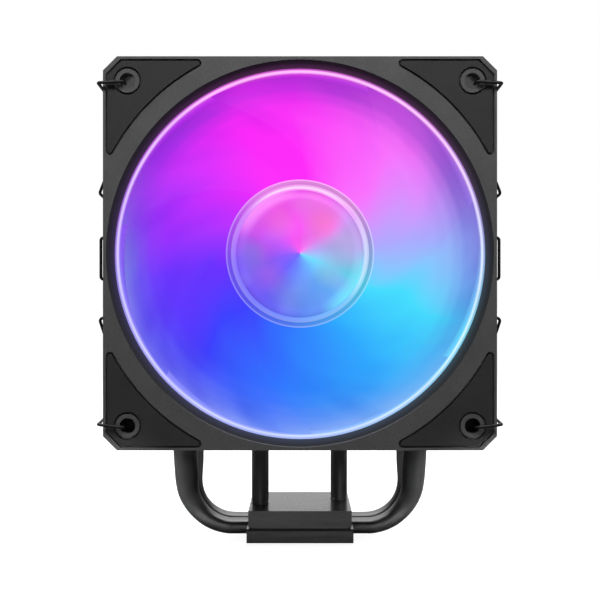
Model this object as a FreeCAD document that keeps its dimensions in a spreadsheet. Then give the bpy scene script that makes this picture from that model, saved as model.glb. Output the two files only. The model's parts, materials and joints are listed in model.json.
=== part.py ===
import FreeCAD, Part
import math
import os
import Sketcher
from FreeCAD import Vector as V

# CPU tower cooler, millimetres.  X right, Y from the fan side to the back, Z up.
# The origin is the centre of the base's contact face.

os.makedirs("parts", exist_ok=True)
doc = FreeCAD.newDocument("cpu_tower_cooler")
sheet = doc.addObject("Spreadsheet::Sheet", "params")

ROWS = [
    ("fan_size", 120.0), ("fan_chamfer", 4.3), ("fan_front", -49.0), ("fan_back", -24.0),
    ("fan_height", 94.6), ("flange_thick", 4.0), ("hole_offset", 52.5), ("hole_radius", 2.4),
    ("post_radius", 4.6), ("boss_radius", 3.65), ("duct_outer", 60.5),
    ("funnel_mouth", 59.0), ("funnel_throat", 57.0), ("funnel_depth", 4.0),
    ("bore_radius", 56.2), ("seat_depth", 20.0), ("pad_inset", 1.42), ("pad_arc", 65.09), ("pad_tip", 0.7), ("hole_depth", 5.4),
    ("pad_thick", 1.2), ("pad_proud", 0.2), ("pad_gap", 0.6), ("pad_hole", 4.25),
    ("lens_ring_inner", 56.1), ("led_groove", 58.2), ("blade_tip", 55.6), ("hub_radius", 22.7),
    ("hub_front", -47.6), ("hub_back", -30.8), ("blade_count", 7),
    ("dome_radius", 19.5), ("trim_outer", 20.5), ("cup_radius", 22.5), ("cup_front", -30.2),
    ("cup_floor", -26.4), ("cup_back", -24.4), ("strut_width", 5.0), ("strut_front", -27.4),
    ("tube_radius", 4.0), ("tube_bore", 3.0), ("shaft_radius", 1.5), ("bearing_bore", 1.53),
    ("stator_radius", 17.9), ("magnet_inner", 18.5), ("magnet_outer", 20.5),
    ("yoke_outer", 21.4), ("plate_wide", 35.4), ("plate_deep", 38.0), ("plate_thick", 4.55), ("plate_edge", 0.6),
    ("block_wide", 34.2), ("block_deep", 38.0), ("block_bottom", 4.65), ("block_top", 10.65),
    ("block_seam", 0.64), ("block_inset", 1.0), ("leg_gap", 0.15),
    ("flat_pipe_wide", 10.0), ("flat_pipe_high", 4.67), ("outer_pipe_z", 3.265),
    ("outer_pipe_y", 5.2), ("outer_leg_x", 38.5), ("outer_lean", 0.2), ("outer_shift_from", 12.0), ("outer_leg_y", 14.0),
    ("outer_pipe_radius", 4.0), ("outer_bend", 15.5), ("inner_pipe_radius", 2.9),
    ("inner_bend", 4.2), ("inner_pipe_z", 7.6), ("inner_leg_x", 13.62), ("inner_leg_y", 4.7),
    ("inner_flat_wide", 7.0), ("inner_flat_high", 3.8), ("pipe_top", 149.4),
    ("fin_half_wide", 58.0), ("fin_front", -23.6), ("fin_rear", 24.0), ("fin_thick", 0.4),
    ("fin_pitch", 2.1), ("fin_count", 54), ("fin_bottom", 36.5), ("fin_step", 2.4),
    ("top_plate_z", 150.2), ("top_plate_thick", 1.4), ("clip_groove_y", -16.0),
    ("clip_groove_deep", 2.6), ("clip_groove_half", 1.7), ("clip_wire", 0.5),
    ("clip_front", -50.25), ("clip_tip", -46.0), ("clip_hook_x", 53.6), ("clip_arm_x", 61.3),
    ("clip_groove_x", 56.7), ("clip_kink_x", 66.75), ("clip_inner_x", 62.5), ("clip_handle_x", 66.3),
    ("clip_kink_up", 21.3), ("clip_kink_down", 20.7), ("clip_handle_up", 6.5), ("clip_handle_down", 7.1),
    ("led_size", 1.8),
]
P = {}


class Q:
    """A length that carries both its number and its spreadsheet formula."""

    def __init__(self, n, e):
        self.n, self.e = float(n), e

    @staticmethod
    def of(v):
        return v if isinstance(v, Q) else Q(v, repr(float(v)))

    def __add__(self, o):
        o = Q.of(o)
        return Q(self.n + o.n, "(%s + %s)" % (self.e, o.e))

    def __radd__(self, o):
        return Q.of(o) + self

    def __sub__(self, o):
        o = Q.of(o)
        return Q(self.n - o.n, "(%s - %s)" % (self.e, o.e))

    def __rsub__(self, o):
        return Q.of(o) - self

    def __mul__(self, o):
        o = Q.of(o)
        return Q(self.n * o.n, "(%s * %s)" % (self.e, o.e))

    def __rmul__(self, o):
        return Q.of(o) * self

    def __truediv__(self, o):
        o = Q.of(o)
        return Q(self.n / o.n, "(%s / %s)" % (self.e, o.e))

    def __neg__(self):
        return Q(-self.n, "(-1 * %s)" % self.e)

    def root(self):
        return Q(math.sqrt(self.n), "sqrt(%s)" % self.e)


for row, (alias, value) in enumerate(ROWS, 1):
    sheet.set("A%d" % row, alias)
    sheet.set("B%d" % row, "%g" % value)
    sheet.setAlias("B%d" % row, alias)
    P[alias] = Q(value, "params.%s" % alias)
doc.recompute()
NODES = []


def p(name):
    return P[name]


def num(name):
    return P[name].n


def bind(obj, prop, q):
    q = Q.of(q)
    setattr(obj, prop, q.n)
    obj.setExpression(prop, q.e)


def body(name, node=True, z=None):
    b = doc.addObject("PartDesign::Body", name)
    b.Label = name
    if hasattr(b, "AllowCompound"):
        b.AllowCompound = True
    if z is not None:
        b.Placement.Base = V(0, 0, z.n)
        b.setExpression("Placement.Base.z", z.e)
    if node:
        NODES.append(b)
    return b


def sketch(b, name, role, offset=0.0):
    s = b.newObject("Sketcher::SketchObject", name)
    plane = [f for f in b.Origin.OriginFeatures if f.Role == role][0]
    s.AttachmentSupport = [(plane, "")]
    s.MapMode = "FlatFace"
    off = Q.of(offset)
    s.AttachmentOffset = FreeCAD.Placement(V(0, 0, off.n), FreeCAD.Rotation())
    s.setExpression("AttachmentOffset.Base.z", off.e)
    return s


def pin(s, geo, pos, x, y):
    for kind, q in (("DistanceX", Q.of(x)), ("DistanceY", Q.of(y))):
        k = s.addConstraint(Sketcher.Constraint(kind, -1, 1, geo, pos, q.n))
        s.setExpression("Constraints[%d]" % k, q.e)


def poly(s, pts):
    pts = [(Q.of(a), Q.of(c)) for a, c in pts]
    n = len(pts)
    first = s.GeometryCount
    for i in range(n):
        a, c = pts[i], pts[(i + 1) % n]
        s.addGeometry(Part.LineSegment(V(a[0].n, a[1].n, 0), V(c[0].n, c[1].n, 0)))
    for i in range(n):
        s.addConstraint(Sketcher.Constraint("Coincident", first + i, 2, first + (i + 1) % n, 1))
    for i in range(n):
        pin(s, first + i, 1, pts[i][0], pts[i][1])


def circle(s, x, y, r):
    x, y, r = Q.of(x), Q.of(y), Q.of(r)
    g = s.addGeometry(Part.Circle(V(x.n, y.n, 0), V(0, 0, 1), r.n))
    pin(s, g, 3, x, y)
    k = s.addConstraint(Sketcher.Constraint("Radius", g, r.n))
    s.setExpression("Constraints[%d]" % k, r.e)


def rect(s, x0, y0, x1, y1):
    poly(s, [(x0, y0), (x1, y0), (x1, y1), (x0, y1)])


def pad(b, s, length, name="pad"):
    f = b.newObject("PartDesign::Pad", name)
    f.Profile = s
    bind(f, "Length", length)
    return f


def pocket(b, s, length, name="pocket", reverse=False):
    f = b.newObject("PartDesign::Pocket", name)
    f.Profile = s
    bind(f, "Length", length)
    f.Reversed = reverse
    return f


def turn(b, pts, name="turned", cut=False):
    """Revolve a closed (y, radius) outline about the fan's own axis."""
    s = sketch(b, name + "_outline", "YZ_Plane")
    poly(s, pts)
    f = b.newObject("PartDesign::Groove" if cut else "PartDesign::Revolution", name)
    f.Profile = s
    f.ReferenceAxis = (s, ["H_Axis"])
    f.Angle = 360
    return f


def ring(b, y0, y1, r0, r1, name="turned", cut=False):
    return turn(b, [(y0, r0), (y1, r0), (y1, r1), (y0, r1)], name, cut)


def polar(b, features, axis_sketch, count, name="pattern"):
    f = b.newObject("PartDesign::PolarPattern", name)
    f.Originals = features
    f.Axis = (axis_sketch, ["N_Axis"])
    f.Angle = 360
    q = Q.of(count)
    f.Occurrences = int(q.n)
    f.setExpression("Occurrences", q.e)
    b.Tip = f
    return f


def feature(name, shape, z=None, node=True):
    f = doc.addObject("Part::Feature", name)
    f.Label = name
    f.Shape = shape
    f.Placement = FreeCAD.Placement(V(0, 0, z or 0.0), FreeCAD.Rotation())
    if node:
        NODES.append(f)
    return f


FZ = p("fan_height")
half = p("fan_size") / 2
front, back = p("fan_front"), p("fan_back")

# ---------------------------------------------------------------- base
b = body("base_plate")
s = sketch(b, "plate_section", "YZ_Plane", -p("plate_wide") / 2)
hd, th, ed = p("plate_deep") / 2, p("plate_thick"), p("plate_edge")
poly(s, [(-hd, 0.0), (hd, 0.0), (hd, th - ed), (hd - ed, th), (ed - hd, th), (-hd, th - ed)])
pad(b, s, p("plate_wide"), "plate_pad")
for side, sg in (("front", -1.0), ("rear", 1.0)):
    yc = p("outer_pipe_y") * sg
    s = sketch(b, "outer_channel_%s" % side, "XY_Plane", p("plate_thick"))
    hw = p("flat_pipe_wide") / 2 + 0.06
    rect(s, -p("plate_wide"), yc - hw, p("plate_wide"), yc + hw)
    pocket(b, s, p("plate_thick") - p("outer_pipe_z") + p("flat_pipe_high") / 2 + 0.05,
           "outer_channel_cut_%s" % side)

blank = body("base_block_blank", node=False)
b = blank
s = sketch(b, "block_outline", "XY_Plane", p("block_bottom") + p("block_seam"))
rect(s, -p("block_wide") / 2, -p("block_deep") / 2, p("block_wide") / 2, p("block_deep") / 2)
pad(b, s, p("block_top") - p("block_bottom") - p("block_seam"), "block_pad")
s = sketch(b, "block_foot", "XY_Plane", p("block_bottom"))
fw, fd = p("block_wide") / 2 - p("block_inset"), p("block_deep") / 2 - p("block_inset")
rect(s, -fw, -fd, fw, fd)
pad(b, s, p("block_seam") + 0.2, "block_foot_pad")
for side, sg in (("front", -1.0), ("rear", 1.0)):
    yc = p("outer_pipe_y") * sg
    hw = p("flat_pipe_wide") / 2 + 0.06
    s = sketch(b, "block_channel_%s" % side, "XY_Plane", p("block_bottom"))
    rect(s, -p("block_wide"), yc - hw, p("block_wide"), yc + hw)
    pocket(b, s, p("outer_pipe_z") + p("flat_pipe_high") / 2 + 0.05 - p("block_bottom"),
           "block_channel_cut_%s" % side, reverse=True)
# the inner pipe's run crosses the block at a slant, in a groove that opens downwards
lx, ly = p("inner_leg_x"), p("inner_leg_y")
reach = (lx * lx + ly * ly).root()
ux, uy = lx / reach, ly / reach
hw, hl = p("inner_flat_wide") / 2 + 0.06, reach - 1.0
s = sketch(b, "slanted_channel", "XY_Plane", p("block_bottom"))
poly(s, [(ux * a - uy * c, uy * a + ux * c) for a, c in ((-hl, -hw), (hl, -hw), (hl, hw), (-hl, hw))])
pocket(b, s, p("inner_pipe_z") - p("block_bottom"), "slanted_channel_cut", reverse=True)
# round holes where its legs come out of the top
s = sketch(b, "leg_holes", "XY_Plane", p("block_top"))
for sg in (-1.0, 1.0):
    circle(s, lx * sg, ly * sg, p("inner_pipe_radius") + p("leg_gap"))
pocket(b, s, 1.9, "leg_holes_cut")


# ---------------------------------------------------------------- heat pipes
def section(centre, u_axis, v_axis, a, c, power):
    """A closed superellipse wire: half size a along u_axis, c along v_axis."""
    pts = []
    for i in range(20):
        t = 2 * math.pi * i / 20
        ct, st = math.cos(t), math.sin(t)
        k = 2.0 / power
        x = a * math.copysign(abs(ct) ** k, ct)
        y = c * math.copysign(abs(st) ** k, st)
        pts.append(centre + u_axis * x + v_axis * y)
    curve = Part.BSplineCurve()
    curve.interpolate(pts, PeriodicFlag=True)
    return Part.Wire([curve.toShape()])


def smooth(t):
    t = max(0.0, min(1.0, t))
    return t * t * (3 - 2 * t)


def bent_pipe(along, reach, y0, y1, zc, r, wide, high, rad, z_end, top, grow=0.0, lean=0.0, shift_from=2.0):
    """A pipe flattened in its run through the base, turning round as it bends up.

    along is the run's direction; y0 and y1 shift the pipe across it, in the run and in the legs.
    lean is how far the legs move out above the bend, and shift_from is where the sideways shift begins.
    """
    reach = reach - lean
    across = V(-along.y, along.x, 0)
    a0, c0, rad = wide / 2 + grow, high / 2 + grow, rad + grow
    arc_len = r * math.pi / 2
    total = arc_len + (z_end - zc - r)
    steps = 12
    halves = []
    for sx in (-1.0, 1.0):
        wires = []
        for i in range(steps + 1):
            d = total * i / steps
            if d < arc_len:
                a = d / r
                x, z = reach - r + r * math.sin(a), zc + r - r * math.cos(a)
            else:
                a = math.pi / 2
                x, z = reach + lean * smooth((d - arc_len) / (total - arc_len)), zc + r + d - arc_len
            y = y0 + (y1 - y0) * smooth((d - shift_from) / max(1.0, total - shift_from - 1.0))
            morph = smooth(d / (total * 0.72))
            w = a0 + (rad - a0) * morph
            h = c0 + (rad - c0) * morph
            power = 3.4 + (2.0 - 3.4) * smooth(d / (total * 0.6))
            v = along * (-sx * math.sin(a)) + V(0, 0, math.cos(a))
            wires.append(section(along * (sx * x) + across * y + V(0, 0, z), across, v, w, h, power))
        bend = Part.makeLoft(wires, True, False)
        leg = Part.Face(wires[-1]).extrude(V(0, 0, top - z_end))
        halves.append((wires[0], bend, leg))
    run = Part.Face(halves[0][0]).extrude(along * (2 * (reach - r)))
    return run.fuse([halves[0][1], halves[0][2], halves[1][1], halves[1][2]])


for tag, sg in (("front", -1.0), ("rear", 1.0)):
    feature("heat_pipe_outer_%s" % tag,
            bent_pipe(V(1, 0, 0), num("outer_leg_x"), sg * num("outer_pipe_y"), sg * num("outer_leg_y"),
                      num("outer_pipe_z"), num("outer_bend"), num("flat_pipe_wide"), num("flat_pipe_high"),
                      num("outer_pipe_radius"), 36.0, num("pipe_top"), 0.0, num("outer_lean"),
                      num("outer_shift_from")))


def inner_pipe(top, grow):
    along = V(num("inner_leg_x"), num("inner_leg_y"), 0)
    reach = along.Length
    return bent_pipe(along.normalize(), reach, 0.0, 0.0, num("inner_pipe_z"), num("inner_bend"),
                     num("inner_flat_wide"), num("inner_flat_high"), num("inner_pipe_radius"), 17.0, top, grow)


feature("heat_pipe_inner", inner_pipe(num("pipe_top"), 0.0))
room = feature("inner_pipe_room", inner_pipe(22.0, 0.05), node=False)
doc.recompute()
block = doc.addObject("Part::Cut", "base_top_block")
block.Label = "base_top_block"
block.Base = blank
block.Tool = room
NODES.append(block)


# ---------------------------------------------------------------- fins
def fin_outline(s, holes=True):
    w, f0, r0, st = p("fin_half_wide"), p("fin_front"), p("fin_rear"), p("fin_step")
    gy, gd, gh = p("clip_groove_y"), p("clip_groove_deep"), p("clip_groove_half")
    right = [(18.0, f0), (22.0, f0 + st), (30.0, f0 + st), (34.0, f0), (w - 3.0, f0), (w, f0 + 3.0),
             (w, gy - gh), (w - gd, gy - gh), (w - gd, gy + gh), (w, gy + gh),
             (w, r0 - 3.0), (w - 3.0, r0), (34.0, r0), (30.0, r0 - st), (22.0, r0 - st), (18.0, r0)]
    pts = right + [(-Q.of(x), y) for x, y in reversed(right)]
    poly(s, pts)
    if holes:
        for sx in (-1.0, 1.0):
            for sy in (-1.0, 1.0):
                circle(s, p("outer_leg_x") * sx, p("outer_leg_y") * sy, p("outer_pipe_radius") + 0.02)
            circle(s, p("inner_leg_x") * sx, p("inner_leg_y") * sx, p("inner_pipe_radius") + 0.02)


b = body("cooling_fins")
s = sketch(b, "fin_outline", "XY_Plane", p("fin_bottom"))
fin_outline(s)
first_fin = pad(b, s, p("fin_thick"), "fin_pad")
stack = b.newObject("PartDesign::LinearPattern", "fin_stack")
stack.Originals = [first_fin]
stack.Direction = (s, ["N_Axis"])
stack.Length = num("fin_pitch") * (num("fin_count") - 1)
stack.setExpression("Length", "params.fin_pitch * (params.fin_count - 1)")
stack.Occurrences = int(num("fin_count"))
stack.setExpression("Occurrences", "params.fin_count")
b.Tip = stack

b = body("top_plate")
s = sketch(b, "top_outline", "XY_Plane", p("top_plate_z"))
fin_outline(s, holes=False)
pad(b, s, p("top_plate_thick"), "top_pad")

# ---------------------------------------------------------------- fan frame
fb = body("fan_frame", z=FZ)
s = sketch(fb, "frame_outline", "XZ_Plane", -(back - 0.4))
ch = half - p("fan_chamfer")
poly(s, [(-half, -ch), (-ch, -half), (ch, -half), (half, -ch), (half, ch), (ch, half),
         (-ch, half), (-half, ch)])
pad(fb, s, (back - 0.4) - front, "frame_pad")
throat_y = front + p("funnel_depth")
seat_y = front + p("seat_depth")
liner = p("funnel_throat") + 0.02
turn(fb, [(front - 1, 0), (front - 1, p("funnel_mouth")), (front, p("funnel_mouth")),
          (front + 1.0, p("funnel_mouth") - 1.1), (throat_y, liner),
          (front + 7.6, liner), (front + 7.6, p("led_groove")), (front + 11.6, p("led_groove")), (front + 11.6, liner),
          (seat_y, liner), (seat_y, p("bore_radius")), (back - 3, p("bore_radius")),
          (back - 0.4, p("bore_radius") + 1.4), (back + 1, p("bore_radius") + 1.4), (back + 1, 0)],
     "duct_bore", cut=True)
cs = sketch(fb, "corner_relief", "XZ_Plane", -(back - p("flange_thick")))
ra = p("duct_outer")
a0 = 10.0
sx, sy = ra * math.cos(math.radians(a0)), ra * math.sin(math.radians(a0))
lim = half + 2
g = cs.addGeometry(Part.ArcOfCircle(Part.Circle(V(0, 0, 0), V(0, 0, 1), ra.n),
                                    math.radians(a0), math.radians(90 - a0)))
for q0, q1 in (((sy, sx), (sy, lim)), ((sy, lim), (lim, lim)), ((lim, lim), (lim, sy)),
               ((lim, sy), (sx, sy))):
    cs.addGeometry(Part.LineSegment(V(q0[0].n, q0[1].n, 0), V(q1[0].n, q1[1].n, 0)))
cs.addConstraint(Sketcher.Constraint("Coincident", g, 3, -1, 1))
for i, (pa, pb) in enumerate(((2, 1), (2, 1), (2, 1), (2, 1), (2, 1))):
    cs.addConstraint(Sketcher.Constraint("Coincident", i, pa, (i + 1) % 5, pb))
pin(cs, 1, 1, sy, sx)
pin(cs, 1, 2, sy, lim)
pin(cs, 2, 2, lim, lim)
pin(cs, 3, 2, lim, sy)
k = cs.addConstraint(Sketcher.Constraint("DistanceX", -1, 1, 4, 2, sx.n))
cs.setExpression("Constraints[%d]" % k, sx.e)
circle(cs, p("hole_offset"), p("hole_offset"), p("post_radius"))
relief = pocket(fb, cs, (back - front) - p("flange_thick") * 2, "corner_relief_cut", reverse=True)
polar(fb, [relief], cs, 4, "corner_reliefs")
hs = sketch(fb, "corner_bosses", "XZ_Plane", -front - 0.5)
for ux in (-1.0, 1.0):
    for uz in (-1.0, 1.0):
        circle(hs, p("hole_offset") * ux, p("hole_offset") * uz, p("boss_radius"))
pad(fb, hs, 0.75, "corner_boss_pad")
for tag, off, rev in (("front", -front + 1, False), ("rear", -(back - 0.4) - 1, True)):
    hs = sketch(fb, "corner_holes_%s" % tag, "XZ_Plane", off)
    for ux in (-1.0, 1.0):
        for uz in (-1.0, 1.0):
            circle(hs, p("hole_offset") * ux, p("hole_offset") * uz, p("hole_radius"))
    pocket(fb, hs, p("hole_depth") + 1, "corner_holes_cut_%s" % tag, reverse=rev)


def pad_outline(s, grow, hole):
    """The corner pad: straight outer edges, a chamfer, rounded tips, and an inner arc about the fan's axis."""
    lim = half - p("pad_inset") + grow
    dx = lim - (p("fan_chamfer") + grow * 0.41)
    arc = p("pad_arc") - grow
    tip = p("pad_tip") + grow
    c1 = lim - tip
    c0 = ((arc + tip) * (arc + tip) - c1 * c1).root()
    k = arc / (arc + tip)
    t0, t1 = c0 * k, c1 * k
    pts = [(c0, lim), (dx, lim), (lim, dx), (lim, c0), (t1, t0), (t0, t1)]
    for i in range(3):
        a, b = pts[i], pts[i + 1]
        s.addGeometry(Part.LineSegment(V(a[0].n, a[1].n, 0), V(b[0].n, b[1].n, 0)))

    def bow(cx, cy, r, a, b):
        return Part.ArcOfCircle(Part.Circle(V(cx, cy, 0), V(0, 0, 1), r), math.atan2(a[1].n - cy, a[0].n - cx),
                                math.atan2(b[1].n - cy, b[0].n - cx))

    low = s.addGeometry(bow(c1.n, c0.n, tip.n, pts[4], pts[3]))
    mid = s.addGeometry(bow(0, 0, arc.n, pts[4], pts[5]))
    high = s.addGeometry(bow(c0.n, c1.n, tip.n, pts[0], pts[5]))
    for a, ap, c, cp in ((0, 2, 1, 1), (1, 2, 2, 1), (2, 2, low, 2), (low, 1, mid, 1), (mid, 2, high, 2),
                         (high, 1, 0, 1)):
        s.addConstraint(Sketcher.Constraint("Coincident", a, ap, c, cp))
    pin(s, 0, 1, *pts[0])
    pin(s, 0, 2, *pts[1])
    pin(s, 1, 2, *pts[2])
    pin(s, 2, 2, *pts[3])
    pin(s, mid, 1, *pts[4])
    pin(s, mid, 2, *pts[5])
    for g, r in ((low, tip), (mid, arc), (high, tip)):
        c = s.addConstraint(Sketcher.Constraint("Radius", g, r.n))
        s.setExpression("Constraints[%d]" % c, r.e)
    if hole is not None:
        circle(s, p("hole_offset"), p("hole_offset"), hole)


recess = p("pad_thick") - p("pad_proud")
for tag, off, rev in (("front", -front, False), ("rear", -(back - 0.4), True)):
    rs = sketch(fb, "pad_recess_%s" % tag, "XZ_Plane", off)
    pad_outline(rs, p("pad_gap"), p("boss_radius"))
    cut = pocket(fb, rs, recess, "pad_recess_cut_%s" % tag, reverse=rev)
    polar(fb, [cut], rs, 4, "pad_recesses_%s" % tag)

ss = sketch(fb, "strut_outline", "XZ_Plane", -p("cup_back"))
w = p("strut_width") / 2
poly(ss, [(6.0 - w, 18.0), (6.0 + w, 18.0), (-5.0 + w, p("bore_radius") + 1.8),
          (-5.0 - w, p("bore_radius") + 1.8)])
strut = pad(fb, ss, p("cup_back") - p("strut_front"), "strut_pad")
polar(fb, [strut], ss, 4, "struts")
turn(fb, [(p("cup_front"), p("cup_radius")), (p("cup_front"), p("cup_radius") - 1.4),
          (p("cup_floor"), p("cup_radius") - 1.4), (p("cup_floor"), 4.0), (p("cup_back"), 4.0),
          (p("cup_back"), p("cup_radius"))], "motor_cup")
ns = sketch(fb, "cable_notch", "XZ_Plane", -(back + 1))
rect(ns, 30.0, -half - 1, 35.0, -half + 4.5)
pocket(fb, ns, 4.0, "cable_notch_cut", reverse=True)
ns = sketch(fb, "label_seat", "XZ_Plane", -(p("cup_back") + 0.5))
circle(ns, 0, 0, p("cup_radius") - 2.0)
pocket(fb, ns, 0.5 + 0.5, "label_seat_cut", reverse=True)

# corner pads
k = 0
for tag, off in (("front", -front + p("pad_proud") - p("pad_thick")), ("rear", -(back - 0.4) - p("pad_proud"))):
    for corner, deg in (("upper_right", 0), ("lower_right", 90), ("lower_left", 180), ("upper_left", 270)):
        b = body("corner_pad_%s_%s" % (tag, corner), z=FZ)
        b.Placement.Rotation = FreeCAD.Rotation(V(0, 1, 0), deg)
        s = sketch(b, "pad_%s_%s_outline" % (tag, corner), "XZ_Plane", off)
        pad_outline(s, Q.of(0.0), p("pad_hole"))
        pad(b, s, p("pad_thick"), "pad_%s_%s_pad" % (tag, corner))

# light ring, its led strip and leds
b = body("front_light_ring", z=FZ)
ring(b, throat_y, seat_y - 0.05, p("lens_ring_inner"), p("funnel_throat"))
b = body("ring_led_strip", z=FZ)
ring(b, front + 7.9, front + 11.3, p("led_groove") - 0.27, p("led_groove") - 0.02)
b = body("ring_leds", z=FZ)
s = sketch(b, "ring_led_outline", "XZ_Plane", -(front + 10.4))
rect(s, -p("led_size") / 2, p("funnel_throat") + 0.15, p("led_size") / 2, p("led_groove") - 0.32)
f = pad(b, s, 1.6, "ring_led_pad")
polar(b, [f], s, 12, "ring_led_pattern")

# ---------------------------------------------------------------- motor, fixed half
b = body("bearing_tube", z=FZ)
ring(b, -42.0, p("cup_back") - 0.6, p("tube_bore"), p("tube_radius") - 0.01)
b = body("sleeve_bearing", z=FZ)
ring(b, -41.4, -29.4, p("bearing_bore"), p("tube_bore"))
b = body("thrust_cap", z=FZ)
ring(b, -26.4, p("cup_back") - 0.6, Q.of(0.0), p("tube_bore") - 0.01)
b = body("motor_board", z=FZ)
ring(b, -30.0, -29.0, p("tube_radius"), p("cup_radius") - 1.6)
b = body("stator_core", z=FZ)
ring(b, -40.0, -34.0, p("tube_radius"), Q.of(7.0), "stator_hub")
s = sketch(b, "pole_outline", "XZ_Plane", 34.0)
rect(s, -1.6, 6.0, 1.6, p("stator_radius") - 1.4)
f = pad(b, s, 6.0, "pole_pad")
polar(b, [f], s, 4, "poles")
s2 = sketch(b, "shoe_outline", "XZ_Plane", 34.0)
poly(s2, [(-6.0, 13.6), (6.0, 13.6), (6.0, 15.4), (3.0, p("stator_radius") - 0.9), (0.0, p("stator_radius") - 0.5),
          (-3.0, p("stator_radius") - 0.9), (-6.0, 15.4)])
f2 = pad(b, s2, 6.0, "shoe_pad")
polar(b, [f2], s2, 4, "shoes")
b = body("stator_coils", z=FZ)
s = sketch(b, "coil_outline", "XZ_Plane", 33.0)
rect(s, -3.6, 7.2, 3.6, 13.4)
f = pad(b, s, 8.0, "coil_pad")
s = sketch(b, "coil_core", "XZ_Plane", 34.0 - 0.01)
rect(s, -1.6, 7.0, 1.6, 13.6)
f2 = pocket(b, s, 6.02, "coil_core_cut", reverse=True)
polar(b, [f, f2], s, 4, "coil_pattern")
b = body("hub_leds", z=FZ)
s = sketch(b, "hub_led_outline", "XZ_Plane", 30.0)
rect(s, 17.4, 3.0, 19.4, 5.0)
f = pad(b, s, 0.7, "hub_led_pad")
polar(b, [f], s, 4, "hub_led_pattern")
b = body("motor_back_cover", z=FZ)
ring(b, p("cup_back") - 0.5, p("cup_back") - 0.1, Q.of(0.0), p("cup_radius") - 2.1)

# ---------------------------------------------------------------- rotor
hub = body("impeller_hub", node=False, z=FZ)
hr = p("hub_radius")
hf, hb = p("hub_front"), p("hub_back")
turn(hub, [(hf, hr - 0.5), (hf + 0.5, hr), (hb, hr), (hb, hr - 1.1), (hf + 4.0, hr - 1.1), (hf + 4.0, 2.4),
           (hf + 2.4, 2.4), (hf + 2.4, p("trim_outer") + 0.02), (hf + 0.6, p("trim_outer") + 0.02),
           (hf + 0.6, hr - 0.9), (hf, hr - 0.9)])


def lerp(a, c, t):
    return a + (c - a) * t


def blade_solid(index):
    """One sickle blade between the hub wall and the tip radius."""
    r0, r1 = num("hub_radius") - 0.7, num("blade_tip")
    nr, nc = 7, 9
    step = 2 * math.pi / num("blade_count")
    grids = []
    for sign in (-1, 1):
        rows = []
        for i in range(nr):
            v = i / (nr - 1.0)
            r = lerp(r0, r1, v)
            mid = math.radians(44.0) * (1 - v) ** 1.25 + index * step
            spread = step * lerp(0.56, 0.575, v)
            thick = lerp(0.85, 0.5, v)
            y_lead = lerp(-45.6, -44.6, v)
            y_trail = lerp(-31.6, -30.4, v)
            row = []
            for j in range(nc):
                t = j / (nc - 1.0)
                ang = mid + spread * (2 * t - 1)
                y = lerp(y_lead, y_trail, t) + 2.2 * t * (1 - t)
                th = thick * (0.45 + 0.55 * math.sin(math.pi * min(1.0, 0.12 + 0.88 * t)) ** 0.5
                              if 0.0 < t < 1.0 else 0.45)
                y += sign * th
                row.append(V(r * math.sin(ang), y, r * math.cos(ang)))
            rows.append(row)
        surf = Part.BSplineSurface()
        surf.interpolate(rows)
        grids.append(surf)
    faces = [g.toShape() for g in grids]
    edges = []
    for g in grids:
        u0, u1, v0, v1 = g.bounds()
        edges.append([g.uIso(u0).toShape(), g.uIso(u1).toShape(), g.vIso(v0).toShape(), g.vIso(v1).toShape()])
    for k in range(4):
        faces.append(Part.makeRuledSurface(edges[0][k], edges[1][k]))
    shell = Part.makeShell([f for sh in faces for f in sh.Faces])
    shell.sewShape()
    solid = Part.makeSolid(shell)
    if solid.Volume < 0:
        solid.reverse()
    return solid


blades = []
for i in range(int(num("blade_count"))):
    bl = feature("impeller_blade_%d" % (i + 1), blade_solid(i), z=num("fan_height"), node=False)
    bl.setExpression("Placement.Base.z", "params.fan_height")
    blades.append(bl)
doc.recompute()
imp = doc.addObject("Part::MultiFuse", "impeller")
imp.Label = "impeller"
imp.Shapes = [hub] + blades
NODES.append(imp)

b = body("hub_trim_ring", z=FZ)
turn(b, [(hf - 0.3, p("trim_outer")), (hf - 0.3, p("dome_radius") + 0.02),
         (hf + 2.4, p("dome_radius") + 0.02), (hf + 2.4, p("trim_outer"))])
b = body("hub_lens", z=FZ)
dr = p("dome_radius")
turn(b, [(hf + 2.4, 0.0), (hf - 0.7, 0.0), (hf - 0.65, 6.0), (hf - 0.45, 12.0), (hf - 0.05, 17.0),
         (hf + 0.5, dr - 0.9), (hf + 1.1, dr), (hf + 2.4, dr)])
b = body("rotor_yoke", z=FZ)
turn(b, [(hf + 4.02, p("yoke_outer")), (hb, p("yoke_outer")), (hb, p("magnet_outer") + 0.02),
         (hf + 4.8, p("magnet_outer") + 0.02), (hf + 4.8, 2.4), (hf + 4.02, 2.4)])
b = body("rotor_magnet", z=FZ)
ring(b, hf + 5.0, hb - 0.7, p("magnet_inner"), p("magnet_outer"))
b = body("rotor_shaft", z=FZ)
turn(b, [(hf + 2.45, 0.0), (hf + 2.45, 2.38), (hf + 4.6, 2.38), (hf + 4.6, p("shaft_radius")),
         (-28.6, p("shaft_radius")), (-28.6, 1.1), (-28.0, 1.1), (-28.0, p("shaft_radius")),
         (-26.9, p("shaft_radius")), (-26.7, 1.1), (-26.7, 0.0)])
b = body("shaft_retaining_ring", z=FZ)
ring(b, -28.55, -28.05, Q.of(1.11), Q.of(2.4))


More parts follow.
